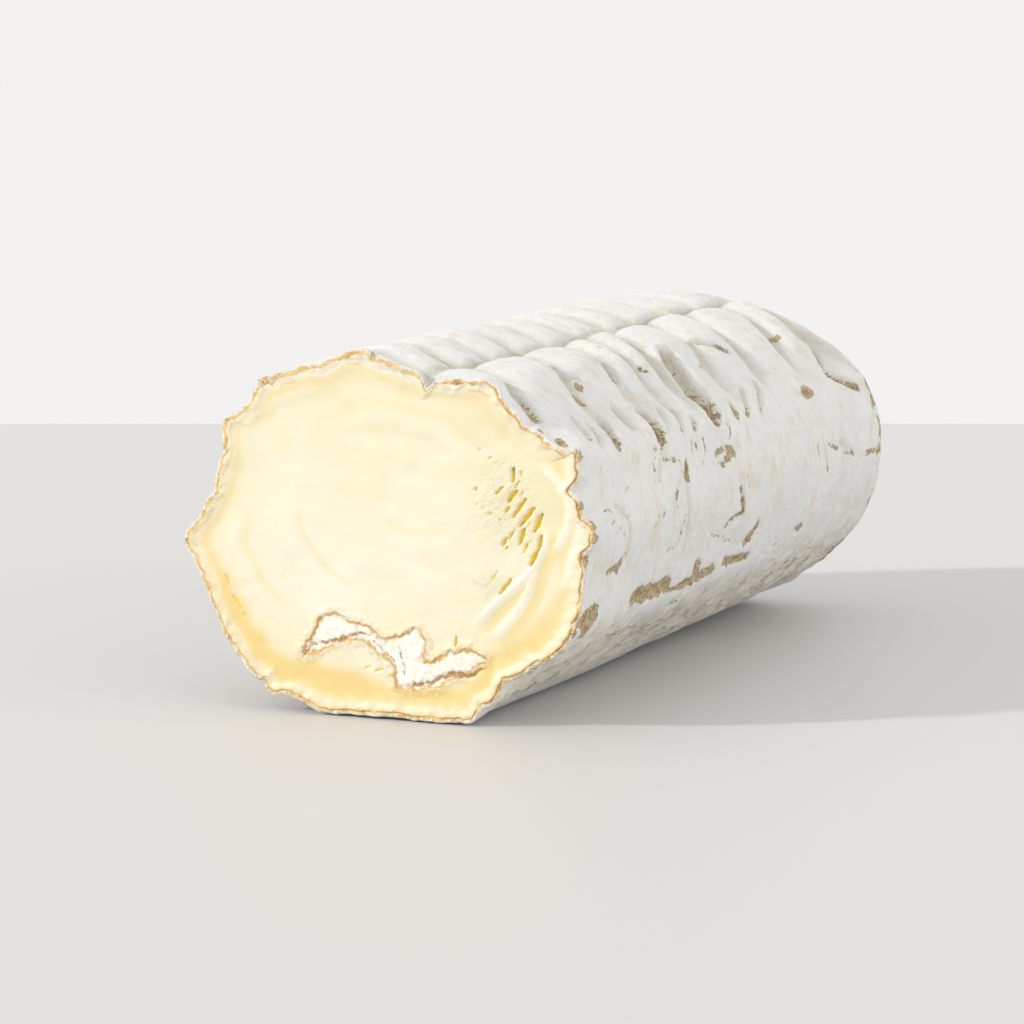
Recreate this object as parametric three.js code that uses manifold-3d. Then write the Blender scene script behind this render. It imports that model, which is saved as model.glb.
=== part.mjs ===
// A log of soft-ripened cheese lying on its side, in millimetres with +Z up.
//
// The log runs along Y. Its front end, at -Y, is cut square and shows the paste.
// Its back end is a natural one, covered in rind and rounded at the rim.
// Ridges and shallow flutes run the whole length, and one side rests flat at Z = 0.
// The origin is under the middle of the log, on the surface that it rests on.
import * as THREE from 'three';
import { mergeVertices } from 'three/addons/utils/BufferGeometryUtils.js';
import Module from 'manifold-3d';

const wasm = await Module();
wasm.setup();

// Overall size
const LENGTH = 208;
const WIDTH = 103;
const HEIGHT = 85;

// Rind
const RIDGE_ROUND = 2.2;     // how far each side of a ridge its rounding starts
const END_ROUND = 7;         // radius of the rim at the natural end
const END_CROWN = 1.2;       // how far the middle of the natural end stands proud
const WRINKLE_PITCH = 24;    // distance between the crosswise wrinkles
const WRINKLE_DEPTH = 1.3;
const WRINKLE_SLANT = 1.2;   // crosswise wrinkles lean by this much along Y for each mm of X

// Cut face
const FISSURE_DEPTH = 1.6;
const PIT_DEPTH = 0.9;

// Fineness
const STATION_STEP = 8;
const FLUTE_STEPS = 4;
const RIDGE_STEPS = 2;
const RIM_STEPS = 5;

// The ridges, clockwise as seen from the cut face. x is a share of the width from the middle
// and z a share of the height. hollow is the depth in mm of the flute after the ridge.
const RIDGES = [
  { x: -0.500, z: 0.450, hollow: 2.6 },
  { x: -0.395, z: 0.790, hollow: 2.2 },
  { x: -0.300, z: 0.910, hollow: 0.7 },
  { x: -0.050, z: 1.000, hollow: 2.0 },
  { x: 0.250, z: 0.922, hollow: 2.3 },
  { x: 0.467, z: 0.737, hollow: 1.7 },
  { x: 0.500, z: 0.518, hollow: 0.8 },
  { x: 0.462, z: 0.255, hollow: 0.6 },
  { x: 0.201, z: 0.000, hollow: 0.0 },
  { x: -0.141, z: 0.000, hollow: 0.5 },
  { x: -0.305, z: 0.052, hollow: 0.6 },
  { x: -0.400, z: 0.190, hollow: 0.6 },
];

// The edge of the open fissure low on the cut face, as shares of the width and the height.
const FISSURE = [
  [-0.209, 0.159], [-0.165, 0.253], [-0.126, 0.282], [-0.087, 0.261], [-0.039, 0.245],
  [-0.005, 0.209], [0.029, 0.229], [0.078, 0.251], [0.093, 0.218], [0.089, 0.159],
  [0.155, 0.194], [0.199, 0.204], [0.243, 0.179], [0.189, 0.145], [0.129, 0.104],
  [0.073, 0.082], [0.029, 0.094], [0.015, 0.147], [-0.019, 0.179], [-0.058, 0.209],
  [-0.107, 0.207], [-0.160, 0.174],
];

// Small open pits in the paste, placed as the ridges are. long and wide are in mm, and slant
// is in degrees from upright, leaning to +X.
const PITS = [
  { x: 0.301, z: 0.678, long: 4.0, wide: 1.3, slant: -20 },
  { x: 0.297, z: 0.607, long: 2.6, wide: 1.2, slant: 30 },
  { x: 0.334, z: 0.581, long: 3.4, wide: 1.2, slant: 35 },
  { x: 0.359, z: 0.560, long: 2.4, wide: 1.3, slant: 10 },
  { x: 0.355, z: 0.494, long: 5.6, wide: 1.6, slant: 25 },
  { x: 0.313, z: 0.515, long: 3.2, wide: 1.2, slant: 20 },
  { x: 0.280, z: 0.351, long: 4.6, wide: 1.0, slant: 35 },
  { x: -0.388, z: 0.348, long: 2.2, wide: 1.4, slant: -15 },
  { x: -0.359, z: 0.278, long: 2.8, wide: 1.3, slant: -30 },
];

// Flutes are shallow curves between the ridges, and each ridge is a short curve of its own.
function crossSection() {
  const ridges = RIDGES.map((r) => new THREE.Vector2(r.x * WIDTH, r.z * HEIGHT));
  const flutes = ridges.map((start, i) => {
    const end = ridges[(i + 1) % ridges.length];
    const along = end.clone().sub(start).normalize();
    const inward = new THREE.Vector2(along.y, -along.x);
    const middle = start.clone().add(end).multiplyScalar(0.5);
    return {
      from: start.clone().addScaledVector(along, RIDGE_ROUND),
      to: end.clone().addScaledVector(along, -RIDGE_ROUND),
      control: middle.addScaledVector(inward, 2 * RIDGES[i].hollow),
    };
  });
  return flutes.flatMap((flute, i) => {
    const next = flutes[(i + 1) % flutes.length];
    const hollow = new THREE.QuadraticBezierCurve(flute.from, flute.control, flute.to);
    const ridge = new THREE.QuadraticBezierCurve(flute.to, ridges[(i + 1) % ridges.length], next.from);
    return [...hollow.getPoints(FLUTE_STEPS).slice(0, -1), ...ridge.getPoints(RIDGE_STEPS).slice(0, -1)];
  });
}

// The rounded ridges fall a little short, so the outline is stretched back to the full size.
function fitToSize(outline) {
  const box = new THREE.Box2().setFromPoints(outline);
  const size = box.getSize(new THREE.Vector2());
  return outline.map((p) => new THREE.Vector2(
    (p.x - box.min.x) * WIDTH / size.x - WIDTH / 2,
    (p.y - box.min.y) * HEIGHT / size.y,
  ));
}

// How far in from the full section the rind lies at one place, which is nothing at the base.
function wrinkle(point, depth) {
  const phase = 2 * Math.PI * (depth + WRINKLE_SLANT * point.x) / WRINKLE_PITCH;
  const fadeIn = Math.min(1, depth / WRINKLE_PITCH);
  return WRINKLE_DEPTH * fadeIn * (point.y / HEIGHT) * (1 - Math.cos(phase)) / 2;
}

// Depths behind the cut face, each with how far the section is drawn in there.
function stations() {
  const straight = LENGTH - END_CROWN - END_ROUND;
  const steps = Math.round(straight / STATION_STEP);
  const list = [];
  for (let i = 0; i <= steps; i++) list.push({ depth: straight * i / steps, inset: 0 });
  for (let i = 1; i <= RIM_STEPS; i++) {
    const angle = (Math.PI / 2) * i / RIM_STEPS;
    list.push({
      depth: straight + END_ROUND * Math.sin(angle),
      inset: END_ROUND * (1 - Math.cos(angle)),
    });
  }
  return list;
}

function ring(outline, station) {
  const middle = new THREE.Vector2(0, HEIGHT / 2);
  return outline.map((p) => {
    const outward = p.clone().sub(middle).normalize();
    const inset = station.inset + wrinkle(p, station.depth);
    const q = p.clone().addScaledVector(outward, -inset);
    return [q.x, station.depth - LENGTH / 2, q.y];
  });
}

function quads(rings, count) {
  const faces = [];
  for (let r = 0; r + 1 < rings; r++) {
    for (let i = 0; i < count; i++) {
      const a = r * count + i;
      const b = r * count + (i + 1) % count;
      faces.push(a, b, a + count, b, b + count, a + count);
    }
  }
  return faces;
}

function solid(geometry) {
  geometry.deleteAttribute('normal');
  geometry.deleteAttribute('uv');
  const merged = mergeVertices(geometry, 1e-4);
  return new wasm.Manifold(new wasm.Mesh({
    numProp: 3,
    vertProperties: new Float32Array(merged.attributes.position.array),
    triVerts: new Uint32Array(merged.index.array),
  }));
}

function logBody() {
  const outline = fitToSize(crossSection());
  const count = outline.length;
  const places = stations();
  const points = places.flatMap((station) => ring(outline, station));
  const front = points.push([0, -LENGTH / 2, HEIGHT / 2]) - 1;
  const back = points.push([0, LENGTH / 2, HEIGHT / 2]) - 1;
  const faces = quads(places.length, count);
  const last = (places.length - 1) * count;
  for (let i = 0; i < count; i++) {
    const j = (i + 1) % count;
    faces.push(front, j, i);
    faces.push(back, last + i, last + j);
  }
  const geometry = new THREE.BufferGeometry();
  geometry.setAttribute('position', new THREE.Float32BufferAttribute(points.flat(), 3));
  geometry.setIndex(faces);
  return solid(geometry);
}

// The cutter reaches as far in front of the cut face as it goes behind it.
function fissureCutter() {
  const edge = new THREE.Shape(FISSURE.map(([x, z]) => new THREE.Vector2(x * WIDTH, z * HEIGHT)));
  const cutter = new THREE.ExtrudeGeometry(edge, { depth: 2 * FISSURE_DEPTH, bevelEnabled: false });
  cutter.rotateX(Math.PI / 2);
  cutter.translate(0, FISSURE_DEPTH - LENGTH / 2, 0);
  return solid(cutter);
}

function pitCutter(pit) {
  const cutter = new THREE.SphereGeometry(1, 10, 8);
  cutter.scale(pit.wide / 2, PIT_DEPTH, pit.long / 2);
  cutter.rotateY(THREE.MathUtils.degToRad(pit.slant));
  cutter.translate(pit.x * WIDTH, -LENGTH / 2, pit.z * HEIGHT);
  return solid(cutter);
}

function toGeometry(body) {
  const { vertProperties, triVerts } = body.getMesh();
  const geometry = new THREE.BufferGeometry();
  geometry.setAttribute('position', new THREE.BufferAttribute(vertProperties, 3));
  geometry.setIndex(new THREE.BufferAttribute(triVerts, 1));
  geometry.computeVertexNormals();
  return geometry;
}

function cheeseLog() {
  const cutters = [fissureCutter(), ...PITS.map(pitCutter)];
  const body = cutters.reduce((rest, cutter) => rest.subtract(cutter), logBody());
  const rind = new THREE.MeshStandardMaterial({ color: 0xf2efe8, roughness: 0.85, metalness: 0 });
  const mesh = new THREE.Mesh(toGeometry(body), rind);
  mesh.name = 'cheese_log';
  return mesh;
}

const group = new THREE.Group();
group.add(cheeseLog());
export default group;
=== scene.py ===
"""A log of soft-ripened cheese on a pale table, cut square at the front to show the paste.

Sizes are in millimetres until a mesh is written, and the log's own size comes from the frame.
The log runs back along Y. Its section is drawn in X and Z, clockwise from the left ridge.
"""
import math

import bpy
import numpy as np
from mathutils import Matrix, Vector, noise


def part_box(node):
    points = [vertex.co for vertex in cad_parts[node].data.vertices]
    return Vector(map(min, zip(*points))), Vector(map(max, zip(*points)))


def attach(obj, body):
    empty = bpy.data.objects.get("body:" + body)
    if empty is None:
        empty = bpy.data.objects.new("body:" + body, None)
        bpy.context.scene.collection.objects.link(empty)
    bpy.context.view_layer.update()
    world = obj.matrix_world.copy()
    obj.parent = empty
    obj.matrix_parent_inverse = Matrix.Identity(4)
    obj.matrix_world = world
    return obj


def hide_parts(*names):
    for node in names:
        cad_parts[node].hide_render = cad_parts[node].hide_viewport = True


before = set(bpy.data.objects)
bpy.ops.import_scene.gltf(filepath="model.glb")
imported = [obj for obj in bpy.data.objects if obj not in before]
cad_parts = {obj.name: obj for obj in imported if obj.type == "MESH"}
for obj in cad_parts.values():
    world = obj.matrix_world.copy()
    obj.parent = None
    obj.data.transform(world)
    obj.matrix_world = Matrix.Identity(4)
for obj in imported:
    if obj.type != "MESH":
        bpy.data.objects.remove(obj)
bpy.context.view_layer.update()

MM = 0.001
LOW, HIGH = (np.array(corner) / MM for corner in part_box("cheese_log"))
WIDTH, LENGTH, HEIGHT = HIGH - LOW
FRONT = LOW[1]
MIDDLE = np.array([(LOW[0] + HIGH[0]) / 2, HEIGHT / 2])

# The ridges as in the solid: share of the width, share of the height, flute depth after it.
RIDGES = [
    (-0.500, 0.450, 2.6), (-0.395, 0.790, 2.2), (-0.300, 0.910, 0.7), (-0.050, 1.000, 2.0),
    (0.250, 0.922, 2.3), (0.467, 0.737, 1.7), (0.500, 0.518, 0.8), (0.462, 0.255, 0.6),
    (0.201, 0.000, 0.0), (-0.141, 0.000, 0.5), (-0.305, 0.052, 0.6), (-0.400, 0.190, 0.6),
]
RIDGE_ROUND = 2.6
END_ROUND = 7.0
END_CROWN = 1.2

RIND_THICK = 1.8
RIND_CELLS = 88      # a quarter of the points round the log
RIND_CUTS = (14, 15)  # cuts made in each lengthwise edge, first and again
PASTE_CELLS = 280
PASTE_RECESS = 0.28  # how far the paste lies behind the rind's cut edge
SOFTNESS = 4.5       # how far the section's corners and flutes are smoothed behind the cut
SOFT_FROM = 11.0     # how far behind the cut the smoothed section takes over
ROUNDNESS = 13.0     # how far they are smoothed at the far end
ROUND_FROM = (50, 185)

RNG = np.random.default_rng(7)


# ---------------------------------------------------------------- section

def bezier(a, b, c, count):
    t = np.linspace(0, 1, count, endpoint=False)[:, None]
    return (1 - t) ** 2 * a + 2 * t * (1 - t) * b + t ** 2 * c


def section_points(count=2400):
    """Evenly spaced points round the section, with the outward direction at each."""
    corners = np.array([(x * WIDTH, z * HEIGHT) for x, z, _ in RIDGES])
    legs = []
    for i, start in enumerate(corners):
        end = corners[(i + 1) % len(corners)]
        along = (end - start) / np.linalg.norm(end - start)
        inward = np.array([along[1], -along[0]])
        hollow = (start + end) / 2 + 2 * RIDGES[i][2] * inward
        legs.append((start + RIDGE_ROUND * along, hollow, end - RIDGE_ROUND * along, end))
    pieces = []
    for i, (a, hollow, b, ridge) in enumerate(legs):
        after = legs[(i + 1) % len(legs)][0]
        pieces += [bezier(a, hollow, b, 120), bezier(b, ridge, after, 40)]
    loop = fitted(np.concatenate(pieces))
    closed = np.vstack((loop, loop[:1]))
    run = np.concatenate(([0], np.cumsum(np.linalg.norm(np.diff(closed, axis=0), axis=1))))
    even = np.linspace(0, run[-1], count, endpoint=False)
    points = np.column_stack([np.interp(even, run, closed[:, k]) for k in (0, 1)])
    step = np.roll(points, -8, axis=0) - np.roll(points, 8, axis=0)
    step /= np.linalg.norm(step, axis=1)[:, None]
    return points, np.column_stack((-step[:, 1], step[:, 0])), run[-1]


def softened(points, spread, perimeter):
    """The same closed line with its corners and hollows smoothed over spread mm."""
    index = np.arange(len(points))
    away = np.minimum(index, len(points) - index) * perimeter / len(points)
    weight = np.exp(-(away / spread) ** 2 / 2)
    waves = np.fft.fft(points, axis=0) * np.fft.fft(weight / weight.sum())[:, None]
    return np.real(np.fft.ifft(waves, axis=0))


def fitted(points):
    """The same line scaled to the log's width and height."""
    low, high = points.min(axis=0), points.max(axis=0)
    return (points - low) / (high - low) * (WIDTH, HEIGHT) + (LOW[0], 0)


SECTION, OUTWARD, PERIMETER = section_points()
SECTIONS = [SECTION] + [fitted(softened(SECTION, by, PERIMETER)) for by in (SOFTNESS, ROUNDNESS)]
OUTWARDS = [OUTWARD] + [softened(OUTWARD, by, PERIMETER) for by in (SOFTNESS, ROUNDNESS)]


def on_section(turn, inset=0.0, shape=0.0):
    """Points of the section at these shares of the way round, drawn in by inset.

    The shape runs from 0 for the section at the cut, through 1 just behind it, to 2 at the end.
    """
    spot = (turn % 1.0) * len(SECTION)
    first = spot.astype(int) % len(SECTION)
    second = (first + 1) % len(SECTION)
    part = (spot - np.floor(spot))[:, None]
    shape = np.reshape(shape, (-1, 1)) + np.zeros((len(turn), 1))

    def between(lines):
        shares = [np.clip(1 - np.abs(shape - i), 0, 1) for i in range(3)]
        here, after = (sum(s * line[k] for s, line in zip(shares, lines)) for k in (first, second))
        return here * (1 - part) + after * part

    point, outward = between(SECTIONS), between(OUTWARDS)
    outward /= np.linalg.norm(outward, axis=1)[:, None]
    return point - outward * np.reshape(inset, (-1, 1)), outward


def girth(x, z):
    """How far round the section, in mm, the place nearest to x, z lies."""
    away = np.linalg.norm(SECTION - (x, z), axis=1)
    return away.argmin() / len(SECTION) * PERIMETER


# ---------------------------------------------------------------- helpers

def smooth(low, high, value):
    t = np.clip((value - low) / (high - low), 0, 1)
    return t * t * (3 - 2 * t)


def clouds(points, grain, seed=0):
    """Smooth noise between about -1 and 1, with lumps about grain mm across."""
    shift = Vector((seed * 17.3, seed * -9.1, seed * 5.7))
    return np.array([noise.noise(Vector(p) / grain + shift) for p in points.tolist()])


def round_gap(a, b):
    """The shorter way round the section from b to a."""
    return (a - b + PERIMETER / 2) % PERIMETER - PERIMETER / 2


def to_line(u, v, start, end):
    """Distance from each point to a line, and how far along it, from 0 to 1."""
    du, dv = end[0] - start[0], end[1] - start[1]
    along = np.clip(((u - start[0]) * du + (v - start[1]) * dv) / (du * du + dv * dv), 0, 1)
    return np.hypot(u - start[0] - along * du, v - start[1] - along * dv), along


def places(obj):
    flat = np.empty(len(obj.data.vertices) * 3)
    obj.data.vertices.foreach_get("co", flat)
    return flat.reshape(-1, 3)


def put(obj, points):
    obj.data.vertices.foreach_set("co", np.ascontiguousarray(points, dtype=float).ravel())
    obj.data.update()


def keep(obj, name, values):
    """Stores one number for each point, for the materials to read."""
    attribute = obj.data.attributes.new(name, "FLOAT", "POINT")
    attribute.data.foreach_set("value", np.asarray(values, dtype=np.float32))


# ---------------------------------------------------------------- modelling by hand

def disc(name, cells, y):
    """A grid whose square outline is drawn round into a disc of radius 1 across Y."""
    bpy.ops.object.select_all(action="DESELECT")
    bpy.ops.mesh.primitive_grid_add(x_subdivisions=cells, y_subdivisions=cells, size=2)
    made = bpy.context.object
    made.name = made.data.name = name
    a, b = places(made)[:, :2].T
    wide = np.abs(a) > np.abs(b)
    reach = np.where(wide, a, b)
    safe = np.where(reach == 0, 1, reach)
    angle = np.where(wide, math.pi / 4 * b / safe, math.pi / 2 - math.pi / 4 * a / safe)
    put(made, np.column_stack((reach * np.cos(angle), np.full(len(a), y), reach * np.sin(angle))))
    return made


def select_open_edge():
    bpy.ops.mesh.select_mode(type="EDGE")
    bpy.ops.mesh.select_all(action="DESELECT")
    bpy.ops.mesh.select_non_manifold(
        use_wire=False, use_boundary=True, use_multi_face=False,
        use_non_contiguous=False, use_verts=False,
    )


def extrude_open_edge(steps):
    """Extrudes the open edge by each (distance along Y, change of radius) in turn."""
    select_open_edge()
    for along, spread in steps:
        bpy.ops.mesh.extrude_region_move(TRANSFORM_OT_translate={"value": (0, along, 0)})
        bpy.ops.transform.resize(value=(spread, 1, spread), center_override=(0, 0, 0))


def cut_lengthwise(obj, cuts):
    """Divides the edges that run along Y on the outside, where the radius is 1."""
    co = places(obj)
    ends = np.empty(len(obj.data.edges) * 2, dtype=int)
    obj.data.edges.foreach_get("vertices", ends)
    first, second = ends.reshape(-1, 2).T
    radius = np.hypot(co[:, 0], co[:, 2])
    outside = (radius[first] > 0.9999) & (radius[second] > 0.9999)
    lengthwise = np.abs(co[first, 1] - co[second, 1]) > 1e-6
    bpy.ops.object.mode_set(mode="EDIT")
    bpy.ops.mesh.select_mode(type="EDGE")
    bpy.ops.mesh.select_all(action="DESELECT")
    bpy.ops.object.mode_set(mode="OBJECT")
    obj.data.edges.foreach_set("select", outside & lengthwise)
    bpy.ops.object.mode_set(mode="EDIT")
    bpy.ops.mesh.subdivide(number_cuts=cuts)
    bpy.ops.object.mode_set(mode="OBJECT")


class Corners:
    """The corners of a piece's faces, for laying out its flat map."""

    def __init__(self, obj, turn):
        self.mesh = obj.data
        self.point = np.empty(len(self.mesh.loops), dtype=int)
        self.starts = np.empty(len(self.mesh.polygons), dtype=int)
        self.totals = np.empty(len(self.mesh.polygons), dtype=int)
        self.mesh.loops.foreach_get("vertex_index", self.point)
        self.mesh.polygons.foreach_get("loop_start", self.starts)
        self.mesh.polygons.foreach_get("loop_total", self.totals)
        self.face = np.repeat(np.arange(len(self.starts)), self.totals)
        self.place = places(obj)[self.point] / MM
        around = turn[self.point]
        spread = np.maximum.reduceat(around, self.starts) - np.minimum.reduceat(around, self.starts)
        crosses = (spread[self.face] > 0.5) & (around < 0.5)
        self.around = np.clip(np.where(crosses, around + 1, around), 0, 1)

    def any_of(self, flags):
        return np.maximum.reduceat(flags[self.point].astype(int), self.starts)[self.face] > 0

    def all_of(self, flags):
        return np.minimum.reduceat(flags[self.point].astype(int), self.starts)[self.face] > 0

    def lay(self, u, v):
        layer = self.mesh.uv_layers.new(name="OFBake")
        layer.data.foreach_set("uv", np.column_stack((u, v)).ravel())


def face_outwards():
    bpy.ops.object.mode_set(mode="EDIT")
    bpy.ops.mesh.select_all(action="SELECT")
    bpy.ops.mesh.normals_make_consistent(inside=False)
    bpy.ops.object.mode_set(mode="OBJECT")
    bpy.ops.object.shade_smooth()


def turn_and_radius(co):
    """Share of the way round from the left ridge, clockwise from the front, and the radius."""
    return (np.arctan2(co[:, 2], -co[:, 0]) / (2 * math.pi)) % 1.0, np.hypot(co[:, 0], co[:, 2])


# ---------------------------------------------------------------- rind: what its surface shows

# Slits and creases: start and end as (x, z, depth behind the cut), width, depth, stain at the end.
SLITS = [
    ((30.4, 73.4, 9.6), (35.2, 70.1, 5.1), 1.5, 1.0, 0.9),
    ((36.9, 68.9, 20.5), (44.4, 63.5, 12.8), 0.9, 0.6, 0.5),
    ((40.3, 66.4, 21.7), (46.1, 62.4, 15.1), 0.8, 0.7, 0.4),
    ((40.0, 66.6, 31.0), (46.7, 61.9, 23.2), 1.4, 1.2, 1.2),
    ((37.7, 68.3, 45.0), (44.1, 63.7, 38.3), 1.7, 0.8, 0.0),
    ((40.1, 66.6, 54.5), (48.2, 60.9, 48.4), 2.2, 1.6, 1.3),
    ((40.2, 66.5, 64.7), (46.4, 62.1, 55.1), 0.9, 0.6, 0.2),
    ((42.2, 65.1, 70.0), (47.8, 61.2, 62.8), 0.8, 0.7, 0.8),
    ((45.5, 62.8, 74.3), (47.9, 61.1, 71.6), 1.0, 0.6, 0.6),
    ((27.9, 75.3, 101.8), (46.4, 62.2, 85.9), 3.0, 2.6, 1.2),
    ((25.9, 76.7, 126.4), (31.8, 72.5, 133.8), 1.2, 1.0, 0.9),
    ((45.2, 63.0, 103.0), (47.6, 61.3, 101.2), 1.2, 0.6, 0.9),
    ((41.9, 65.3, 117.5), (47.9, 61.1, 108.3), 0.9, 0.7, 0.9),
    ((41.5, 65.6, 128.9), (48.0, 61.0, 117.3), 0.9, 0.7, 0.9),
    ((36.4, 69.2, 185.1), (44.2, 63.7, 176.5), 1.4, 1.0, 1.0),
    ((44.2, 63.7, 176.5), (49.1, 60.2, 192.1), 1.4, 0.9, 1.0),
    ((7.6, 79.7, 53.8), (23.7, 78.2, 36.5), 1.1, 0.9, 0.0),
    ((23.7, 78.2, 36.5), (28.9, 74.5, 44.0), 1.3, 0.9, 0.1),
    ((23.3, 78.5, 58.6), (30.2, 73.6, 64.1), 1.2, 0.9, 0.5),
    ((21.3, 79.4, 76.8), (29.3, 74.2, 76.4), 1.0, 0.8, 0.4),
    ((24.6, 77.6, 75.9), (30.9, 73.1, 81.9), 1.0, 0.7, 0.6),
    ((48.5, 49.0, 14.4), (48.5, 45.5, 20.5), 0.8, 0.45, 0.0),
    ((48.5, 45.5, 20.5), (48.5, 38.5, 22.0), 0.9, 0.5, 0.0),
    ((48.5, 38.5, 22.0), (48.5, 34.8, 16.5), 1.0, 0.5, 1.0),
    ((48.5, 46.0, 13.0), (48.5, 31.0, 11.4), 0.6, 0.2, 0.0),
    ((48.5, 60.7, 47.6), (48.5, 51.5, 44.3), 0.7, 0.4, 0.5),
    ((48.5, 53.7, 60.9), (48.5, 50.0, 60.0), 0.9, 0.5, 0.9),
    ((48.5, 50.0, 59.0), (48.5, 34.0, 59.1), 0.9, 0.5, 0.3),
    ((48.5, 47.0, 51.0), (48.5, 39.0, 49.5), 0.8, 0.3, 0.1),
    ((48.5, 44.0, 94.0), (48.5, 38.1, 97.1), 1.0, 0.6, 0.9),
    ((48.5, 36.4, 85.1), (48.5, 38.1, 97.1), 0.9, 0.4, 0.3),
    ((48.5, 49.0, 155.0), (48.5, 42.0, 157.0), 0.9, 0.4, 0.4),
    ((48.5, 45.7, 168.0), (48.5, 43.5, 178.5), 0.9, 0.4, 0.5),
]

# Worn brown patches: x, z, depth behind the cut, half size round and along, strength.
PATCHES = [
    (38.1, 68.0, 1.2, 0.7, 0.7, 1.0), (42.2, 65.1, 2.6, 1.3, 1.1, 1.2),
    (33.4, 71.4, 35.4, 1.7, 1.8, 1.0), (30.7, 73.2, 40.7, 1.3, 1.2, 0.9),
    (38.3, 67.9, 93.9, 1.2, 1.5, 1.3), (42.3, 65.0, 90.0, 1.6, 1.8, 1.3),
    (33.1, 71.5, 113.4, 1.2, 2.0, 0.5), (46.5, 62.0, 155.4, 1.7, 3.0, 1.4),
    (37.0, 68.8, 163.1, 3.2, 1.2, 0.4), (30.2, 73.6, 173.7, 1.4, 2.6, 1.1),
    (32.8, 71.7, 187.5, 1.5, 2.4, 1.2), (48.5, 53.1, 90.7, 1.8, 2.4, 1.0),
    (48.5, 51.0, 83.0, 1.0, 2.6, 0.5), (48.5, 44.0, 43.7, 1.3, 1.6, 0.4),
    (48.5, 28.1, 70.6, 1.8, 2.2, 1.1), (48.5, 57.0, 70.0, 1.2, 1.0, 0.7), (47.5, 27.5, 143.2, 1.0, 2.2, 0.8),
    (47.5, 25.0, 128.0, 0.8, 2.4, 0.5), (46.5, 23.0, 5.0, 2.0, 2.6, 1.2),
    (48.6, 63.0, 0.6, 1.3, 1.4, 0.9), (50.8, 47.0, 0.5, 1.4, 1.5, 0.9), (51.2, 44.2, 0.5, 1.3, 1.8, 1.0),
    (49.0, 38.8, 0.5, 1.3, 1.2, 0.9), (46.8, 22.5, 0.4, 1.2, 1.4, 0.8), (-31.0, 77.6, 0.5, 1.1, 1.4, 1.0),
    (-40.5, 67.2, 0.5, 0.8, 1.0, 0.8), (-51.0, 38.0, 0.5, 1.0, 1.2, 0.8), (-2.0, 84.8, 0.4, 1.2, 1.0, 0.7),
    (50.2, 52.0, 0.4, 0.9, 1.0, 0.8), (-34.0, 3.6, 0.3, 1.2, 0.8, 0.7), (18.0, 78.6, 0.3, 1.4, 0.8, 0.6),
]

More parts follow.
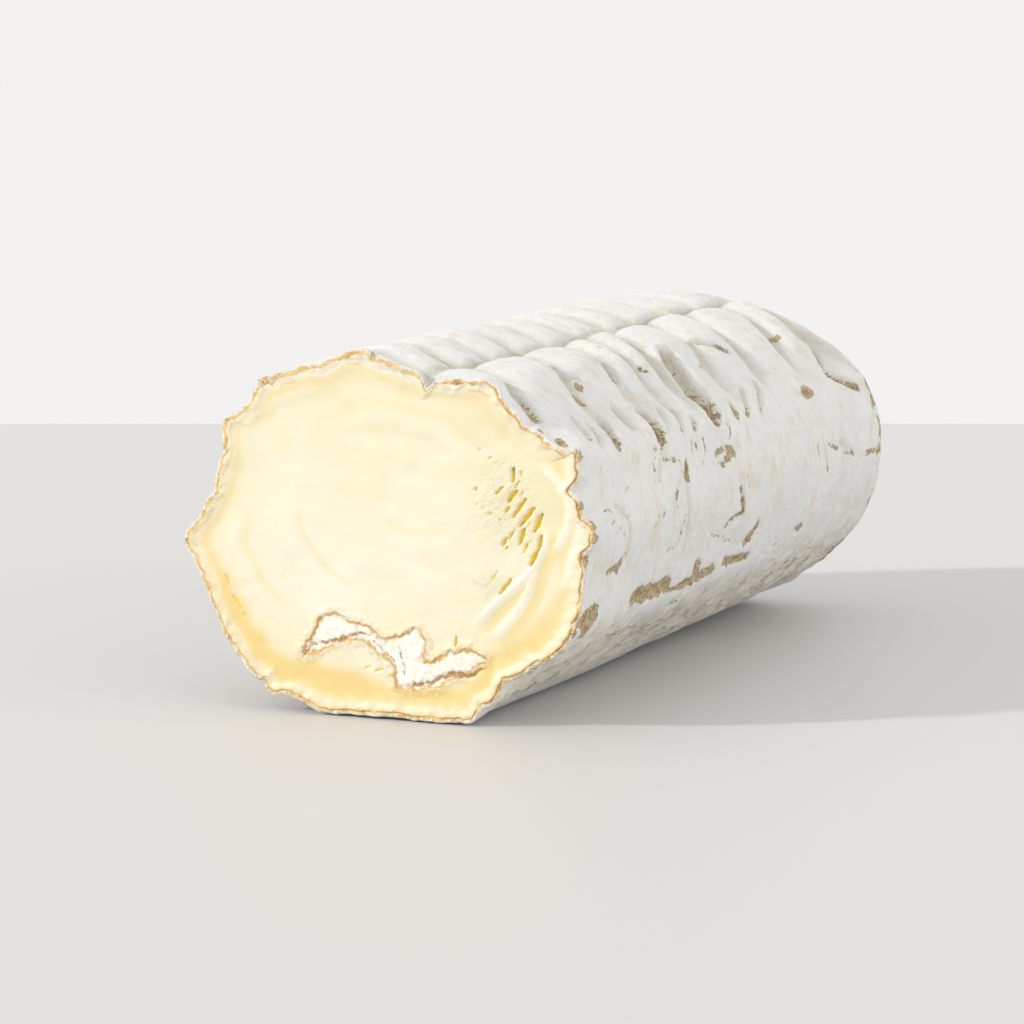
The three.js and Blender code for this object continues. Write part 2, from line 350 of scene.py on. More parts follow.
# Worn brown bands: their line as (x, z, depth behind the cut), half width, strength.
SCARS = [
    ([(47.2, 25.4, 3.0), (47.2, 26.6, 7.5)], 2.4, 1.3),
    ([(47.5, 26.4, 32.5), (47.5, 25.9, 40.5)], 2.5, 1.3),
    ([(47.5, 25.8, 41.5), (47.5, 26.3, 52.0)], 2.0, 1.3),
    ([(47.5, 24.3, 52.0), (47.5, 24.1, 60.0), (47.5, 25.0, 66.0)], 0.9, 1.1),
    ([(47.5, 24.4, 63.0), (47.5, 24.8, 73.0), (47.5, 25.6, 82.0)], 1.5, 1.2),
    ([(47.5, 26.4, 90.0), (47.5, 25.7, 98.0), (47.5, 25.0, 107.0)], 1.3, 1.2),
    ([(48.5, 33.4, 109.5), (48.5, 31.0, 106.0), (48.5, 29.6, 103.0)], 1.4, 1.1),
    ([(48.5, 44.4, 94.0), (48.5, 38.6, 97.5)], 0.8, 0.9),
    ([(48.5, 36.4, 85.0), (48.5, 37.8, 92.0), (48.5, 38.4, 97.0)], 0.8, 0.8),
    ([(48.5, 54.3, 61.5), (48.5, 50.0, 60.5)], 0.9, 1.0),
    ([(48.5, 50.5, 85.0), (48.5, 52.5, 89.0)], 0.9, 0.8),
    ([(48.5, 35.4, 15.4), (48.5, 35.0, 11.0)], 0.9, 1.0),
    ([(50, 49.2, 8.3), (50, 47.8, 14.4), (50, 45.8, 11.8), (50, 46.8, 6.6)], 0.7, 0.4),
    ([(50, 44.4, 15.3), (50, 40.4, 20.3), (50, 37.3, 18.9), (50, 35.4, 15.4)], 0.7, 0.5),
    ([(50, 51.8, 22.3), (50, 52.9, 24.9), (50, 52.9, 28.0)], 0.5, 0.5),
    ([(50, 59.8, 44.3), (50, 55.3, 42.5), (50, 51.7, 41.3)], 0.8, 0.55),
    ([(50, 56.1, 47.7), (50, 54.7, 57.2), (50, 51.6, 58.8)], 0.7, 0.7),
    ([(50, 51.1, 55.7), (50, 47.4, 51.6), (50, 43.3, 51.7)], 0.9, 0.5),
    ([(50, 43.4, 57.0), (50, 39.3, 56.3), (50, 35.1, 54.6), (50, 34.6, 47.1)], 0.7, 0.5),
    ([(50, 44.7, 40.5), (50, 40.5, 35.9), (50, 36.7, 34.1)], 0.6, 0.4),
    ([(50, 58.1, 74.1), (50, 55.3, 74.6), (50, 52.1, 71.7)], 0.7, 0.5),
    ([(50, 58.4, 67.7), (50, 55.4, 66.8)], 0.8, 0.55),
    ([(50, 61.2, 92.5), (50, 58.1, 94.6), (50, 55.7, 90.6)], 0.9, 0.6),
    ([(50, 53.9, 80.6), (50, 54.5, 85.5), (50, 54.8, 88.6)], 0.9, 0.9),
    ([(50, 48.4, 98.9), (50, 43.3, 100.1)], 0.6, 0.45),
    ([(50, 34.7, 76.9), (50, 31.7, 89.0), (50, 29.4, 101.4)], 0.8, 0.45),
    ([(50, 47.9, 150.9), (50, 44.1, 152.1)], 0.9, 0.7),
    ([(50, 47.0, 160.0), (50, 45.6, 165.9)], 0.8, 0.8),
    ([(50, 44.2, 171.8), (50, 43.1, 178.9)], 0.8, 0.7),
    ([(50, 42.4, 188.6), (50, 42.4, 195.9)], 0.8, 0.9),
    ([(36.4, 69.2, 185.0), (44.2, 63.7, 177.0)], 1.2, 0.9),
    ([(44.2, 63.7, 177.0), (49.1, 60.2, 192.0)], 1.1, 0.9),
    ([(38.0, 18.0, 20.0), (39.5, 17.5, 44.0)], 1.0, 0.4),
    ([(44.0, 20.5, 60.0), (45.0, 21.5, 90.0)], 1.0, 0.4),
]

# Depths at which the pillows of the two top lobes meet, along the groove between the lobes.
GROOVE = (9.8, 79.0)
RIGHT_LOBE = [2, 23, 54, 78, 93, 107, 135, 160, 186, 206]
LEFT_LOBE = [3, 21, 39, 57, 74, 91, 110, 129, 150, 172, 194]
RIGHT_SLANT = 0.75
LEFT_SLANT = 0.15

# Bites out of the rind's cut edge: x, z, half width along the edge, depth inwards.
BITES = [
    (10.9, 78.6, 1.3, 3.0), (47.6, 54.9, 1.3, 1.7), (49.0, 49.4, 1.1, 1.4), (49.4, 40.0, 2.2, 1.9),
    (44.5, 66.5, 1.7, 0.9), (47.2, 24.5, 1.7, 1.3), (31.0, 9.6, 2.0, 1.3), (-29.0, 78.6, 1.1, 1.6),
    (-38.5, 68.5, 1.7, 0.8), (-33.0, 75.5, 1.0, 0.9), (-44.0, 60.0, 1.0, 0.9), (-33.0, 4.6, 1.7, 1.2),
    (-47.5, 52.0, 1.0, 0.8), (-1.5, 84.0, 2.5, 0.8), (36.5, 71.0, 1.4, 0.9), (-10.0, 0.3, 3.0, 0.7),
]


def hidden_side_marks():
    """Slits and patches for the side away from the light, in the same style as the others."""
    slits, patches = [], []
    for depth in np.arange(8, 196, 9.0):
        start = depth + RNG.uniform(-4, 7)
        x, z = RNG.uniform(-46, -38), RNG.uniform(52, 72)
        end = (x - RNG.uniform(0, 4), z - RNG.uniform(3, 12), start - RNG.uniform(-2, 9))
        width, stain = RNG.uniform(0.5, 1.5), RNG.choice([0.0, 0.3, 0.9, 1.2])
        slits.append(((x, z, start), end, width, width * RNG.uniform(0.5, 0.8), stain))
    for _ in range(46):
        x, z = [(-51.5, 38), (-46, 27), (-41, 16), (-36, 10), (-30.5, 4.5)][RNG.integers(5)]
        depth, size = RNG.uniform(8, 198), RNG.uniform(0.5, 1.7)
        patches.append((x, z + RNG.uniform(-3, 3), depth, size, size * RNG.uniform(0.7, 3.0),
                        RNG.uniform(0.5, 1.3)))
    return slits, patches


def pillows(cross, depth, joins, slant):
    """The folds between pillows, 1 at the bottom of each, and how full each pillow is."""
    joins = np.array(joins, dtype=float)
    along = depth + slant * cross
    order = np.interp(along, joins, np.arange(len(joins)))
    before = np.clip(order.astype(int), 0, len(joins) - 2)
    behind = np.clip(along - joins[before], 0, None) / 4.4
    ahead = np.clip(joins[before + 1] - along, 0, None) / 2.2
    fold = np.maximum(np.exp(-behind ** 2), np.exp(-ahead ** 2))
    return fold, np.sin(math.pi * (order - np.floor(order)))


def slit_relief(around, run, slits):
    """How deep the slits are at each place, and how stained."""
    depth, stain = np.zeros(len(around)), np.zeros(len(around))
    for start, end, width, sunk, colour in slits:
        a = (0.0, start[2])
        b = (round_gap(girth(*end[:2]), girth(*start[:2])), end[2])
        u = round_gap(around, girth(*start[:2]))
        away, part = to_line(u, run, a, b)
        taper = 0.35 + 0.65 * np.sqrt(np.clip(4 * (part + 0.12) * (1.12 - part) / 1.4, 0, 1))
        across = away / (width * taper)
        depth += 1.3 * sunk * (np.exp(-across ** 2) - 0.3 * np.exp(-((across - 1.7) / 0.6) ** 2))
        at_end = np.hypot(u - b[0], run - b[1]) / (width * 2.0)
        near = np.exp(-across ** 2 / 1.5) * (0.30 + 0.90 * np.exp(-at_end ** 2 / 2.5))
        stain = np.maximum(stain, colour * near)
    return depth, stain


def patch_relief(around, run, patches):
    """How deep the worn patches are at each place, and how stained."""
    depth, stain = np.zeros(len(around)), np.zeros(len(around))
    for x, z, place, round_half, along_half, strength in patches:
        u, v = round_gap(around, girth(x, z)) / round_half, (run - place) / along_half
        inside = np.exp(-(u * u + v * v) / 1.3)
        depth += 0.45 * strength * inside
        stain = np.maximum(stain, strength * inside)
    return depth, stain


def scar_relief(around, run, scars, uneven):
    """How deep the worn bands are at each place, and how stained."""
    depth, stain = np.zeros(len(around)), np.zeros(len(around))
    for line, half, strength in scars:
        middle = girth(*line[0][:2])
        u = round_gap(around, middle)
        spots = [(round_gap(girth(x, z), middle), place) for x, z, place in line]
        away = np.min([to_line(u, run, a, b)[0] for a, b in zip(spots, spots[1:])], axis=0)
        inside = smooth(1.5, 0.3, away / half + 0.7 * uneven)
        depth += 0.55 * strength * inside
        stain = np.maximum(stain, strength * inside * (0.8 + 0.5 * uneven))
    return depth, stain


def bite_relief(around, run):
    """How far the rind's cut edge is broken away."""
    depth = np.zeros(len(around))
    for x, z, half, sunk in BITES:
        near = np.exp(-(round_gap(around, girth(x, z)) / half) ** 2)
        depth = np.maximum(depth, sunk * near)
    return depth * np.exp(-(run / 3.2) ** 2)


def rind_relief(base, around, run):
    """How far the rind lies inside its full section, with the marks the material reads: stains, painted
    shade in the creases and hollows, and the worn strip above the table where painted bounce light goes.
    """
    x, z = base[:, 0], base[:, 2]
    slits, patches = hidden_side_marks()
    slit_depth, slit_stain = slit_relief(around, run, SLITS + slits)
    patch_depth, patch_stain = patch_relief(around, run, PATCHES + patches)
    uneven = clouds(base, 3.0, 7) + 0.5 * clouds(base, 1.4, 10)
    scar_depth, scar_stain = scar_relief(around, run, SCARS, uneven)
    top = smooth(62, 75, z)
    line = np.column_stack((x * 0, run, x * 0))
    groove_x = GROOVE[0] + 1.5 * clouds(line, 30, 3)
    right = smooth(-1.2, 1.2, x - groove_x)
    fade = smooth(0, 9, run) * smooth(0, 10, LENGTH - run)
    wander = 3.0 * clouds(base, 16, 6)
    right_fold, right_full = pillows(x - groove_x, run + wander, RIGHT_LOBE, RIGHT_SLANT)
    left_fold, left_full = pillows(x - groove_x, run + wander, LEFT_LOBE, LEFT_SLANT)
    fold = right * right_fold + (1 - right) * left_fold
    full = right * right_full + (1 - right) * left_full
    groove = np.exp(-np.abs(x - groove_x) / 1.9) * smooth(70, 76, z)
    wobble, lumps = clouds(base, 34, 1), clouds(base, 11, 2)
    fine, grain = clouds(base * (1, 1.4, 1), 4.2, 4), clouds(base, 1.9, 5)
    under = smooth(27, 18, z) * smooth(2, 8, z)
    side = smooth(24, 30, z) * smooth(66, 60, z)
    inset = 0.45 + 0.40 * wobble + (0.32 + 0.60 * under + 0.14 * side) * lumps
    inset += (0.22 + 0.50 * under + 0.08 * side) * fine + (0.10 + 0.10 * under) * grain
    inset += fade * top * (1.7 * fold * (0.8 + 0.5 * lumps) + 0.9 * (1 - full))
    inset += (0.3 + 0.7 * fade) * 1.9 * groove
    inset += slit_depth + patch_depth + scar_depth * (0.7 + 0.8 * uneven)
    # Creases, slits and the groove between the lobes, where the material paints shade.
    crease_shade = np.clip(slit_depth / 1.3, 0, 1) + fade * top * smooth(0.35, 0.95, fold) * 0.85
    crease_shade = np.clip(crease_shade + np.clip(groove * 1.3 - 0.35, 0, 1), 0, 1)
    stain = np.maximum(np.maximum(slit_stain, patch_stain), scar_stain)
    # Where the relief's lumps lie deep, for painted shade in the hollows.
    low = np.clip(0.5 + 0.45 * lumps + 0.55 * fine + 0.35 * grain, 0, 1)
    # The strip above the table: real wear, and where painted bounce light from the table goes.
    edge = z + 4.5 * wobble + 3.5 * lumps + 2.0 * fine
    return inset, crease_shade, stain, low, smooth(27, 13, edge) * smooth(0, 8, z)


# ---------------------------------------------------------------- rind: the piece

INNER = 0.97          # radius of the inside while the rind is still a plain tube
INNER_DEPTH = 6.0     # how far in the rind's inside lies, clear of every fold
RUN_LENGTH = LENGTH - END_CROWN - END_ROUND + math.pi / 2 * END_ROUND


def plain_rind():
    """A tube of radius 1 with one closed end, an outside cut fine, and a thin wall."""
    rind = disc("rind", RIND_CELLS, 1.0)
    bpy.ops.object.mode_set(mode="EDIT")
    extrude_open_edge([(-2, 1)])
    extrude_open_edge([(0, 0.99), (0, 0.98 / 0.99), (0, INNER / 0.98), (0.1, 1), (1.88, 1)])
    bpy.ops.mesh.edge_face_add()
    bpy.ops.object.mode_set(mode="OBJECT")
    for cuts in RIND_CUTS:
        cut_lengthwise(rind, cuts)
    return rind


def shape_rind(rind):
    """Draws the plain tube to the log's section, with its rounded end and its relief."""
    co = places(rind)
    turn, radius = turn_and_radius(co)
    outside = radius > 0.9999
    cap = ~outside & (co[:, 1] > 0.9999)
    rim = ~outside & (co[:, 1] < -0.9999)
    inside = ~outside & ~cap & ~rim
    share = (co[:, 1] + 1) / 2
    run = np.where(cap, RUN_LENGTH, RUN_LENGTH * (0.72 * share + 0.28 * share ** 2))
    run = np.where(rim, 0, run)
    straight = LENGTH - END_CROWN - END_ROUND
    bend = np.clip((run - straight) / END_ROUND, 0, math.pi / 2)
    depth = np.minimum(run, straight) + END_ROUND * np.sin(bend)
    shape = smooth(0, SOFT_FROM, run) + smooth(*ROUND_FROM, run)
    point, outward = on_section(turn, END_ROUND * (1 - np.cos(bend)), shape)
    spread = np.where(cap, radius, 1.0)[:, None]
    point = MIDDLE + (point - MIDDLE) * spread
    depth = depth + np.where(cap, END_CROWN * (1 - radius ** 2), 0)
    base = np.column_stack((point[:, 0], depth, point[:, 1]))
    around = turn * PERIMETER
    across = (1 - radius) / (1 - INNER)

    inset, crease_shade, stain, low, worn_and_bounce_light = rind_relief(base, around, run)
    inset = np.where(cap, 0.5 + 0.6 * clouds(base, 26, 8) + 0.2 * clouds(base, 8, 9), inset)
    ring = base * (1, 0.4, 1)
    broken = clouds(ring, 5.0, 11) + 0.7 * clouds(ring, 1.8, 12)
    rough_side = 0.65 + 0.5 * smooth(20, 40, point[:, 0]) + 0.4 * smooth(25, 8, point[:, 1])
    inset += np.exp(-run / 2.0) * (0.25 + 0.8 * broken * rough_side)
    inset += bite_relief(around, run)
    resting = smooth(3.0, 0.2, point[:, 1]) * smooth(LENGTH - 4, LENGTH - 12, depth)
    inset *= 1 - resting * (0.35 + 0.65 * smooth(0, 5, run))
    inset = np.maximum(inset, 0.0)
    rim_turn, rim_inset = turn[outside & (run < 1e-6)], inset[outside & (run < 1e-6)]
    inset += np.where(rim, across * RIND_THICK, 0)
    inset = np.where(inside, INNER_DEPTH, inset)
    depth = np.where(inside, np.minimum(share * LENGTH, LENGTH - 5), depth)

    tip = np.sin(bend) * ~inside
    side = np.cos(bend) * ~cap
    new = np.empty_like(co)
    new[:, 0] = point[:, 0] - outward[:, 0] * inset * side
    new[:, 2] = point[:, 1] - outward[:, 1] * inset * side
    new[:, 1] = FRONT + depth - inset * np.where(cap, 1, tip)
    flat = base * (1, 0, 1)
    back = 0.25 + 0.5 * clouds(flat, 3.0, 14) + 0.35 * clouds(flat, 1.0, 15)
    new[:, 1] += np.maximum(back, 0) * np.exp(-run / 1.0) * (outside | rim)
    new[:, 1] += np.where(rim, 0.6 * across ** 2, 0)
    deep_end = inside & (co[:, 1] > 0.9)
    shrunk = MIDDLE + (point - MIDDLE) * 0.9
    new[deep_end, 0], new[deep_end, 2] = shrunk[deep_end, 0], shrunk[deep_end, 1]
    new = np.clip(new, LOW, HIGH)
    put(rind, new * MM)

    skin = ~cap & ~inside
    broken = smooth(-0.1, 0.35, clouds(base, 9, 21) + 0.8 * clouds(base, 2.5, 22))
    far = np.exp(-((run - straight + 0.5) / 2.2) ** 2) * broken
    far *= 0.45 + 0.55 * smooth(30, 40, point[:, 0]) * smooth(66, 50, point[:, 1])
    keep(rind, "crease_shade", crease_shade * skin)
    keep(rind, "stain", np.maximum(stain, 0.95 * far) * skin)
    # Where painted shade darkens the relief's hollows.
    keep(rind, "low", np.where(skin, low, 0.4))
    keep(rind, "worn_and_bounce_light", np.where(skin, np.maximum(worn_and_bounce_light, 0.5 * crease_shade), 0.2))
    keep(rind, "cut", np.where(rim, 1.0, np.exp(-run / 0.55)) * skin)
    keep(rind, "cut_depth", np.where(rim, across, 0))
    order = np.argsort(rim_turn)
    return (turn, radius, run, cap, rim, inside), (rim_turn[order], rim_inset[order])


def map_rind(rind, turn, radius, run, cap, rim, inside):
    """A flat map: the side unrolled, the cut edge as a strip, and the end as a disc."""
    at = Corners(rind, turn)
    on_cap, on_rim, on_inside = at.any_of(cap), at.any_of(rim), at.any_of(inside)
    u = 0.004 + 0.992 * at.around
    v = 0.004 + 0.690 * run[at.point] / RUN_LENGTH
    v = np.where(on_rim & ~on_inside, 0.70 + 0.016 * (1 - radius[at.point]) / (1 - INNER), v)
    angle = 2 * math.pi * turn[at.point]
    flat = np.minimum(radius[at.point], 1)
    u = np.where(on_cap, 0.18 - 0.17 * flat * np.cos(angle), u)
    v = np.where(on_cap, 0.86 + 0.135 * flat * np.sin(angle), v)
    u = np.where(on_inside & ~on_cap, 0.40 + 0.58 * at.around, u)
    v = np.where(on_inside & ~on_cap, 0.74 + 0.2 * (at.place[:, 1] - FRONT) / LENGTH, v)
    at.lay(u, v)


# ---------------------------------------------------------------- paste: what the cut shows

# The open fissure's edge, as in the solid: shares of the width and the height.
FISSURE = [
    (-0.209, 0.159), (-0.165, 0.253), (-0.126, 0.282), (-0.087, 0.261), (-0.039, 0.245),
    (-0.005, 0.209), (0.029, 0.229), (0.078, 0.251), (0.093, 0.218), (0.089, 0.159),
    (0.155, 0.194), (0.199, 0.204), (0.243, 0.179), (0.189, 0.145), (0.129, 0.104),
    (0.073, 0.082), (0.029, 0.094), (0.015, 0.147), (-0.019, 0.179), (-0.058, 0.209),
    (-0.107, 0.207), (-0.160, 0.174),
]

# Dark cracks along the fissure's lower edge: line as (x, z), half width, depth.
CRACKS = [
    ([(-21.5, 12.4), (-18.7, 16.2), (-12.2, 17.4), (-6.6, 19.6), (-4.3, 19.0)], 0.30, 0.35),
    ([(-4.3, 19.0), (-1.0, 16.0), (2.6, 13.0)], 0.18, 0.2),
    ([(5.0, 8.2), (10.6, 8.8), (13.0, 10.4), (16.6, 11.6), (20.8, 11.4), (24.6, 13.6)], 0.42, 0.5),
    ([(2.9, 17.5), (4.4, 12.0), (4.6, 9.0)], 0.15, 0.2),
]

# Holes in the paste: both ends as (x, z), width, depth.
HOLES = [
    ((31.3, 58.7), (31.2, 55.8), 1.0, 1.0), ((33.2, 58.3), (33.1, 56.9), 0.6, 0.5),
    ((32.7, 56.0), (31.8, 54.5), 0.5, 0.5), ((28.7, 54.5), (27.1, 52.9), 0.6, 0.6),
    ((32.1, 53.7), (30.0, 51.3), 1.2, 1.1), ((30.4, 50.2), (29.4, 48.9), 0.7, 0.7),
    ((34.2, 52.0), (31.3, 47.9), 0.9, 1.0), ((36.2, 50.1), (33.0, 46.0), 1.1, 1.2),
    ((38.3, 48.9), (36.4, 45.1), 1.2, 1.2), ((33.8, 45.3), (32.9, 42.1), 1.1, 1.1),
    ((38.1, 44.0), (37.5, 41.2), 1.0, 1.3), ((37.5, 41.2), (35.5, 37.3), 1.1, 1.4),
    ((34.7, 42.1), (34.0, 40.0), 0.7, 0.7), ((29.6, 43.0), (28.8, 41.4), 1.0, 0.9),
    ((31.6, 45.1), (30.4, 43.0), 0.6, 0.6), ((29.8, 41.3), (29.6, 40.5), 0.6, 0.6),
    ((22.3, 54.1), (22.2, 53.4), 0.8, 0.6), ((23.2, 62.8), (23.1, 62.2), 0.6, 0.3),
    ((25.8, 61.1), (25.5, 60.4), 0.6, 0.4), ((27.2, 60.2), (27.1, 59.7), 0.5, 0.3),
    ((29.2, 59.9), (29.1, 59.5), 0.5, 0.3), ((30.7, 33.9), (28.1, 30.5), 0.9, 1.0),
    ((27.7, 36.0), (25.9, 32.9), 0.4, 0.4), ((25.4, 32.9), (24.5, 31.1), 0.4, 0.3),
    ((22.1, 33.1), (21.9, 32.1), 0.5, 0.3), ((22.7, 50.6), (22.4, 49.9), 0.7, 0.3),
    ((24.3, 49.9), (24.0, 49.3), 0.6, 0.3), ((25.8, 48.6), (25.4, 47.9), 0.8, 0.4),
    ((28.2, 47.3), (27.9, 46.6), 0.6, 0.4), ((35.5, 43.0), (35.0, 42.0), 0.4, 0.4),
    ((33.9, 54.0), (33.0, 52.6), 0.4, 0.4), ((35.4, 47.0), (34.6, 45.6), 0.4, 0.4),
    ((-40.4, 30.8), (-39.7, 28.6), 0.7, 0.5), ((-38.6, 26.0), (-36.6, 23.4), 0.8, 0.5),
    ((-35.9, 22.3), (-35.2, 21.4), 0.5, 0.3), ((-5.4, 11.4), (-3.9, 12.0), 0.6, 0.4),
    ((-2.6, 11.0), (-0.6, 11.6), 0.7, 0.5), ((0.4, 9.6), (1.5, 10.4), 0.6, 0.4),
    ((17.4, 20.2), (17.0, 17.8), 0.6, 0.6),
]

# Ridges that the knife dragged up: their line, height, half width inside and outside.
DRAGS = [
    ([(36.6, 61.5), (39.4, 58.0), (42.2, 55.5), (44.3, 52.3), (44.7, 49.4), (44.0, 46.1),
      (42.2, 42.4), (40.1, 40.0), (38.0, 38.3)], 0.42, 0.7, 2.0),
    ([(38.4, 39.4), (36.6, 36.6), (35.6, 34.3), (34.8, 31.5), (33.1, 28.5), (30.9, 25.4),
      (27.4, 21.8), (23.5, 19.4)], 0.45, 0.7, 1.6),
    ([(39.5, 47.0), (38.6, 42.0), (36.4, 37.4), (33.8, 34.4), (30.9, 31.9), (27.4, 29.1),
      (24.1, 25.6), (20.0, 21.6)], 0.50, 0.6, 1.5),
    ([(44.0, 62.0), (45.2, 58.0), (45.8, 53.4), (47.4, 50.2), (47.2, 45.7), (46.0, 41.0),
      (44.6, 35.7), (42.6, 31.7), (39.5, 29.0)], 0.30, 1.6, 1.6),
    ([(31.0, 66.0), (34.1, 63.6), (38.7, 61.5), (42.2, 59.7)], 0.25, 1.4, 1.4),
    ([(-26, 50), (-24, 40), (-17, 31), (-6, 25.5)], 0.20, 2.2, 2.2),
    ([(-36, 48), (-38.5, 38), (-33, 28), (-24, 20)], 0.20, 1.6, 1.6),
    ([(-38, 60), (-33, 68), (-24, 73), (-12, 76)], 0.20, 1.8, 1.8),
    ([(-14, 66), (0, 69), (14, 66), (24, 58)], 0.18, 2.2, 2.2),
    ([(-6, 44), (4, 40), (14, 40), (20, 46)], 0.16, 2.4, 2.4),
]


def inside_distance(x, z, edge):
    """How far inside a closed outline each point lies, in mm, and below 0 outside."""
    best = np.full(len(x), 1e9)
    crossings = np.zeros(len(x), dtype=int)
    for (ax, az), (bx, bz) in zip(edge, edge[1:] + edge[:1]):
        best = np.minimum(best, to_line(x, z, (ax, az), (bx, bz))[0])
        spans = (az > z) != (bz > z)
        level = ax + (z - az) / (bz - az if bz != az else 1e-9) * (bx - ax)
        crossings += spans & (x < level)
    return np.where(crossings % 2 == 1, best, -best)


def hole_relief(x, z, ragged):
    depth, inside = np.zeros(len(x)), np.zeros(len(x))
    for a, b, wide, sunk in HOLES:
        away, part = to_line(x, z, a, b)
        reach = away / (wide * (0.18 + 0.26 * np.sin(math.pi * np.clip(part, 0.08, 0.92)))) + 0.65 * ragged
        depth = np.maximum(depth, 0.75 * sunk * smooth(1.7, 0.3, reach))
        inside = np.maximum(inside, smooth(1.8, 0.7, reach) * min(1, 0.3 + sunk))
    return depth, inside


def along_line(x, z, line):
    """Distance from a line, above 0 on its left, how far along it, and its length."""
    run = np.concatenate(([0], np.cumsum([math.dist(p, q) for p, q in zip(line, line[1:])])))
    nearest, signed, where = np.full(len(x), 1e9), np.zeros(len(x)), np.zeros(len(x))
    for i, (a, b) in enumerate(zip(line, line[1:])):
        away, part = to_line(x, z, a, b)
        left = (b[0] - a[0]) * (z - a[1]) - (b[1] - a[1]) * (x - a[0])
        closer = away < nearest
        nearest = np.where(closer, away, nearest)
        signed = np.where(closer, away * np.sign(left), signed)
        where = np.where(closer, run[i] + part * (run[i + 1] - run[i]), where)
    return signed, where, run[-1]


def crack_relief(x, z, ragged):
    """How deep the cracks are, and how far inside one each place lies, in mm."""
    depth, within = np.zeros(len(x)), np.full(len(x), -9.0)
    for line, half, sunk in CRACKS:
        signed, where, length = along_line(x, z, line)
        away = np.abs(signed + 0.5 * ragged)
        ends = smooth(-0.5, 3, where) * smooth(-0.5, 3, length - where)
        depth = np.maximum(depth, sunk * ends * smooth(2.4, 0.5, away / half))
        within = np.maximum(within, half * ends - away)
    return depth, within


def drag_relief(x, z):
    """Ridges steep on one side and soft on the other, and the painted shade beside each."""
    height, drag_shade = np.zeros(len(x)), np.zeros(len(x))
    for line, high, steep, slack in DRAGS:
        signed, where, length = along_line(x, z, line)
        ends = smooth(0, 6, where) * smooth(0, 8, length - where)
        wide = np.where(signed > 0, slack, steep)
        height = np.maximum(height, high * ends * np.exp(-(signed / wide) ** 2))
        # Painted shade at the foot of each ridge's soft side.
        beside = np.exp(-((signed - slack - 1.1) / 1.3) ** 2)
        drag_shade = np.maximum(drag_shade, 2.2 * high * ends * beside)
    return height, np.clip(drag_shade, 0, 1)


# ---------------------------------------------------------------- paste: the piece

PASTE_INSET = 0.95   # how far the cut face's edge lies in from the rind's
PASTE_SUNK = 6.0     # how far in the paste's side lies behind the cut


def plain_paste():
    """A closed cylinder of radius 1 whose front is cut fine."""
    paste = disc("paste", PASTE_CELLS, -1.0)
    bpy.ops.object.mode_set(mode="EDIT")
    extrude_open_edge([(0.02, 1), (0.04, 1), (0.94, 1), (0.96, 1)])
    bpy.ops.mesh.edge_face_add()
    bpy.ops.object.mode_set(mode="OBJECT")
    return paste


